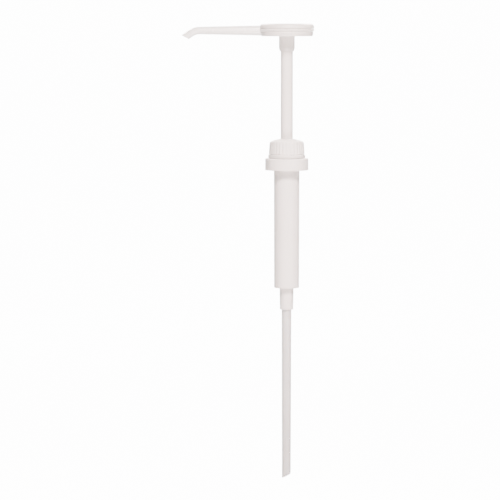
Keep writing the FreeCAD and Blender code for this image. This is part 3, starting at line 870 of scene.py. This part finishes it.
def dip_tube(material):
    """The milky tube down to the bottom of the jug, cut at a slant."""
    low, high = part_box("dip_tube")
    top_r = high.x
    end_r = top_r - TUBE_TAPER
    grip_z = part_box("pump_cylinder")[0].z - MM
    end_z = low.z + end_r * math.tan(TUBE_CUT)
    stations = [(high.z, top_r - 0.15 * MM), (high.z - 0.2 * MM, top_r)]
    for i in range(TUBE_STEPS):
        t = i / TUBE_STEPS
        stations.append((grip_z + (end_z - grip_z) * t, top_r - TUBE_TAPER * t))
    stations += [(end_z + TUBE_EASE, end_r), (end_z, end_r - 0.12 * MM)]
    path = [(Vector((0, 0, z)), Vector((1, 0, 0)), Vector((0, 1, 0))) for z, r in stations]

    def outer(i, angle):
        return stations[i][1]

    def inner(i, angle):
        return stations[i][1] - TUBE_WALL

    bm = bmesh.new()
    for rings in swept(bm, path, inner, outer):
        for ring in rings[-2:]:
            for vert in ring:
                vert.co.z += vert.co.x * math.tan(TUBE_CUT)
    return made("suction_tube", bm, material, "dip_tube")


def return_spring(material):
    """The steel spring, its end turns closed up. It is drawn at one length, though the real spring
    shortens as the head is pressed.
    """
    low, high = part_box("return_spring")
    mean_r = high.y - WIRE_R
    foot = low.z + WIRE_R
    closed = WIRE_R * 2 + SPRING_END_GAP
    open_height = high.z - WIRE_R - foot - 2 * closed
    bm = bmesh.new()
    rings = []
    for i in range((SPRING_TURNS + 2) * SPRING_STEPS + 1):
        turn = i / SPRING_STEPS
        open_turns = min(max(turn - 1, 0), SPRING_TURNS)
        z = foot + closed * (turn - open_turns) + open_height * open_turns / SPRING_TURNS
        angle = 2 * math.pi * turn
        out = Vector((math.cos(angle), math.sin(angle), 0))
        centre = out * mean_r + Vector((0, 0, z))
        ring = []
        for k in range(WIRE_FACES):
            around = 2 * math.pi * k / WIRE_FACES
            spoke = out * math.cos(around) + Vector((0, 0, math.sin(around)))
            ring.append(bm.verts.new(centre + spoke * WIRE_R))
        rings.append(ring)
    skin_rings(bm, rings, closed=False)
    bm.faces.new(rings[0])
    bm.faces.new(reversed(rings[-1]))
    obj = made("steel_spring", bm, material, "return_spring")
    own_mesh(obj)
    return obj


def dress(node, material):
    """Puts a material on a CAD node that is shown as it is."""
    obj = frame["nodes"][node]
    obj.data.materials.clear()
    obj.data.materials.append(material)


# ---------- studio ----------

def sweep(material, floor_z):
    """A floor that curves up into a wall far behind the pump."""
    half_width = 6.0
    bend_y = 2.0
    bend_r = 1.5
    bend_steps = 16
    line = [(-6.0, floor_z), (-2.0, floor_z), (bend_y, floor_z)]
    for i in range(1, bend_steps + 1):
        angle = math.pi / 2 * i / bend_steps
        line.append((bend_y + bend_r * math.sin(angle), floor_z + bend_r * (1 - math.cos(angle))))
    line.append((bend_y + bend_r, 6.0))
    bm = bmesh.new()
    rows = []
    for y, z in line:
        rows.append([bm.verts.new((half_width * x, y, z)) for x in (-1, -0.5, 0, 0.5, 1)])
    for low, high in zip(rows, rows[1:]):
        for i in range(len(low) - 1):
            bm.faces.new((low[i], low[i + 1], high[i + 1], high[i]))
    mesh = bpy.data.meshes.new("sweep")
    bm.to_mesh(mesh)
    bm.free()
    mesh.shade_smooth()
    mesh.materials.append(material)
    obj = bpy.data.objects.new("sweep", mesh)
    bpy.context.scene.collection.objects.link(obj)


def softbox(name, place, aim, size, watts, spread):
    """A rectangular lamp aimed at a point. spread is its beam's angle, in degrees."""
    lamp = bpy.data.lights.new(name, "AREA")
    lamp.shape = "RECTANGLE"
    lamp.size, lamp.size_y = size
    lamp.energy = watts
    lamp.color = WARM
    lamp.spread = math.radians(spread)
    obj = bpy.data.objects.new(name, lamp)
    obj.location = place
    obj.rotation_euler = (Vector(aim) - Vector(place)).to_track_quat("-Z", "Y").to_euler()
    obj.visible_camera = False
    bpy.context.scene.collection.objects.link(obj)


def world(level):
    """A plain pale surround."""
    surround = bpy.data.worlds.new("surround")
    surround.use_nodes = True
    background = surround.node_tree.nodes["Background"]
    background.inputs["Color"].default_value = (1.0, 0.99, 0.98, 1)
    background.inputs["Strength"].default_value = level
    bpy.context.scene.world = surround


def view_x():
    """Where the camera stands, sideways."""
    low, high = start_bounds
    return (low.x + high.x) / 2 + VIEW_SHIFT


def camera():
    """Level with the head and well away from it, looking a little down at the middle of the pump."""
    place = Vector((view_x(), -VIEW_DISTANCE, VIEW_Z))
    aim = Vector((view_x(), 0, AIM_Z))
    data = bpy.data.cameras.new("camera")
    data.lens = data.sensor_width * VIEW_DISTANCE / VIEW_HEIGHT
    obj = bpy.data.objects.new("camera", data)
    obj.location = place
    obj.rotation_euler = (aim - place).to_track_quat("-Z", "Y").to_euler()
    bpy.context.scene.collection.objects.link(obj)
    bpy.context.scene.camera = obj


head_white = plastic("head_white", (0.86, 0.83, 0.805), 0.30)
# the spout's white is lighter than the other parts' white: painted light, for the brighter light that
# the level spout catches from the upper lamp
spout_white_painted_light = plastic("spout_white_painted_light", (0.94, 0.94, 0.93), 0.24, shine=0.9)
stem_white = plastic("stem_white", (0.85, 0.82, 0.80), 0.30)
collar_white = plastic("collar_white", (0.87, 0.84, 0.82), 0.34)
cap_white = plastic("cap_white", (0.86, 0.83, 0.81), 0.36)
barrel_white = plastic("barrel_white", (0.85, 0.82, 0.80), 0.32)
tube_milk = plastic("tube_milk", (0.66, 0.655, 0.655), 0.28, glow=0.5, streaks=1.6)
inner_white = plastic("inner_white", (0.82, 0.81, 0.78), 0.5)
seal_rubber = rubber("seal_rubber", (0.66, 0.65, 0.6))
gasket_foam = foam("gasket_foam", (0.85, 0.84, 0.8))
ball_steel = steel("ball_steel", (0.72, 0.72, 0.73), 0.16, (1, 1, 1))
wire_steel = steel("wire_steel", (0.62, 0.62, 0.63), 0.28, (1, 1, 12))

spout(spout_white_painted_light)
head_shell(head_white)
head_cover(head_white)
stem(stem_white)
retaining_collar(collar_white)
screw_cap(cap_white)
pump_cylinder(barrel_white)
dip_tube(tube_milk)
return_spring(wire_steel)
for node in ("piston", "outlet_valve_seat", "spring_washer", "inlet_ball_cage", "stem_guide"):
    dress(node, inner_white)
for node in ("piston_seal_upper", "piston_seal_lower", "stem_o_ring", "stem_wiper"):
    dress(node, seal_rubber)
for node in ("outlet_ball", "inlet_ball"):
    dress(node, ball_steel)
dress("neck_gasket", gasket_foam)

sweep(studio_white("studio_white"), start_bounds[0].z - FLOOR_DROP)
softbox("upper", (0.16, -1.15, 1.1), (0, 0, -0.1), (0.3, 0.34), 12, spread=60)
softbox("lower", (0.07, -0.45, -0.41), (0, 0, 0.14), (0.24, 0.16), 3.0, spread=80)
softbox("behind_left", (-0.75, 1.3, 1.2), (0, 0, -0.08), (0.4, 0.5), 2.5, spread=22)
softbox("behind_right", (0.75, 1.3, 1.2), (0, 0, -0.08), (0.4, 0.5), 2.5, spread=22)
world(0.2)
camera()
